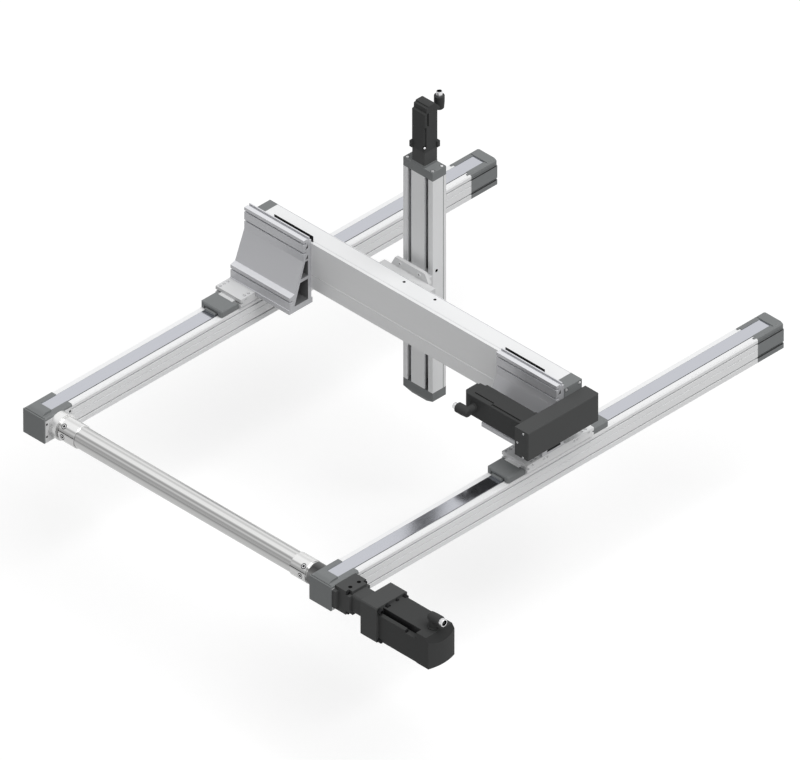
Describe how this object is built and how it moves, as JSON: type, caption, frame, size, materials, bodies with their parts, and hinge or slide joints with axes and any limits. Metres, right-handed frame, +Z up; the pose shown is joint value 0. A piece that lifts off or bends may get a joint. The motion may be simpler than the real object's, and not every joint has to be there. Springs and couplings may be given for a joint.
{
  "type": "multi-axis linear system",
  "caption": "Gantry of linear modules: belt driven X modules joined by a shaft, a screw driven Y module across them on angle brackets, and a hanging Z module.",
  "frame": {"origin": "centre of the underside of the drive side X module, where it is bolted to the machine frame", "axes": "+X along the X modules from the drive end to the free end, +Y from the drive side module to the left one, +Z up"},
  "size_m": [1.6975, 1.5245, 0.9487],
  "materials": {
    "anodised_aluminium": "natural anodised, satin",
    "strip_steel": "cold rolled strip",
    "rail_steel": "ground",
    "tube_metal": "bright drawn tube",
    "dark_plastic": "dark grey moulded plastic",
    "black_metal": "black satin paint",
    "belt_rubber": "toothed belt"
  },
  "bodies": {
    "base": {"drive_x_profile": "anodised_aluminium", "left_x_profile": "anodised_aluminium", "x_rails": "rail_steel", "x_strips": "strip_steel", "drive_x_head": "anodised_aluminium", "left_x_head": "anodised_aluminium", "x_head_covers": "dark_plastic", "drive_x_tail": "dark_plastic", "left_x_tail": "dark_plastic", "x_tail_covers": "dark_plastic", "x_belts": "belt_rubber", "shaft_bearings": "rail_steel", "shaft_boss": "anodised_aluminium", "shaft_collar": "black_metal", "gearbox_mount": "black_metal", "gearbox": "black_metal", "x_motor_flange": "black_metal", "x_motor": "black_metal", "x_motor_cover": "black_metal", "x_motor_connector": "black_metal"},
    "bridge": {"drive_x_carriage": "anodised_aluminium", "left_x_carriage": "anodised_aluminium", "x_carriage_caps": "dark_plastic", "x_guide_blocks": "rail_steel", "drive_bracket": "anodised_aluminium", "left_bracket": "anodised_aluminium", "bracket_strips": "dark_plastic", "y_profile": "anodised_aluminium", "y_rails": "rail_steel", "y_cover_plate": "anodised_aluminium", "y_right_end": "dark_plastic", "y_left_end": "dark_plastic", "side_drive_housing": "black_metal", "side_drive_cover": "black_metal", "y_drive_belt": "belt_rubber", "y_motor": "black_metal", "y_motor_connector": "black_metal"},
    "cross_shaft": {"shaft_tube": "tube_metal", "shaft_couplings": "tube_metal", "drive_pulleys": "anodised_aluminium"},
    "drive_idler_wheel": {"drive_idler": "anodised_aluminium"},
    "left_idler_wheel": {"left_idler": "anodised_aluminium"},
    "y_screw_shaft": {"y_screw": "rail_steel", "y_screw_pulley": "anodised_aluminium"},
    "y_motor_shaft": {"y_motor_pulley": "anodised_aluminium"},
    "y_slide": {"y_carriage": "anodised_aluminium", "y_nut": "rail_steel", "y_guide_blocks": "rail_steel", "cross_plate": "anodised_aluminium", "z_carriage": "anodised_aluminium", "z_nut": "rail_steel", "z_guide_blocks": "rail_steel"},
    "z_frame": {"z_profile": "anodised_aluminium", "z_rails": "rail_steel", "z_cover_plate": "anodised_aluminium", "z_top_block": "dark_plastic", "z_end_cap": "dark_plastic", "z_motor": "black_metal", "z_motor_connector": "black_metal"},
    "z_screw_shaft": {"z_screw": "rail_steel"}
  },
  "joints": [
    {"name": "x_travel", "type": "slide", "parent": "base", "child": "bridge", "axis": [1, 0, 0], "range_m": [-0.54, 0.54]},
    {"name": "cross_shaft_turn", "type": "hinge", "parent": "base", "child": "cross_shaft", "pos_m": [-0.7935, 0, 0.0394], "axis": [0, 1, 0], "range_deg": [-936.9, 936.9]},
    {"name": "drive_idler_turn", "type": "hinge", "parent": "base", "child": "drive_idler_wheel", "pos_m": [0.7935, 0, 0.0394], "axis": [0, 1, 0], "range_deg": [-936.9, 936.9]},
    {"name": "left_idler_turn", "type": "hinge", "parent": "base", "child": "left_idler_wheel", "pos_m": [0.7935, 1.07, 0.0394], "axis": [0, 1, 0], "range_deg": [-936.9, 936.9]},
    {"name": "y_travel", "type": "slide", "parent": "bridge", "child": "y_slide", "axis": [0, 1, 0], "range_m": [-0.46, 0.31]},
    {"name": "y_screw_turn", "type": "hinge", "parent": "bridge", "child": "y_screw_shaft", "pos_m": [0.044, 0.61, 0.2165], "axis": [0, 1, 0], "range_deg": [-6629, 4469]},
    {"name": "y_motor_turn", "type": "hinge", "parent": "bridge", "child": "y_motor_shaft", "pos_m": [-0.11, -0.07, 0.2165], "axis": [0, 1, 0], "range_deg": [-6629, 4469]},
    {"name": "z_travel", "type": "slide", "parent": "y_slide", "child": "z_frame", "axis": [0, 0, 1], "range_m": [-0.28, 0.2]},
    {"name": "z_screw_turn", "type": "hinge", "parent": "z_frame", "child": "z_screw_shaft", "pos_m": [0.1515, 0.61, 0.25], "axis": [0, 0, 1], "range_deg": [-6305, 4505]}
  ],
  "couplings": [
    {"joint": "cross_shaft_turn", "follows": "x_travel", "rad_per_m": 30.12},
    {"joint": "drive_idler_turn", "follows": "x_travel", "rad_per_m": 30.12},
    {"joint": "left_idler_turn", "follows": "x_travel", "rad_per_m": 30.12},
    {"joint": "y_screw_turn", "follows": "y_travel", "rad_per_m": 251.33},
    {"joint": "y_motor_turn", "follows": "y_travel", "rad_per_m": 251.33},
    {"joint": "z_screw_turn", "follows": "z_travel", "rad_per_m": 392.7}
  ]
}
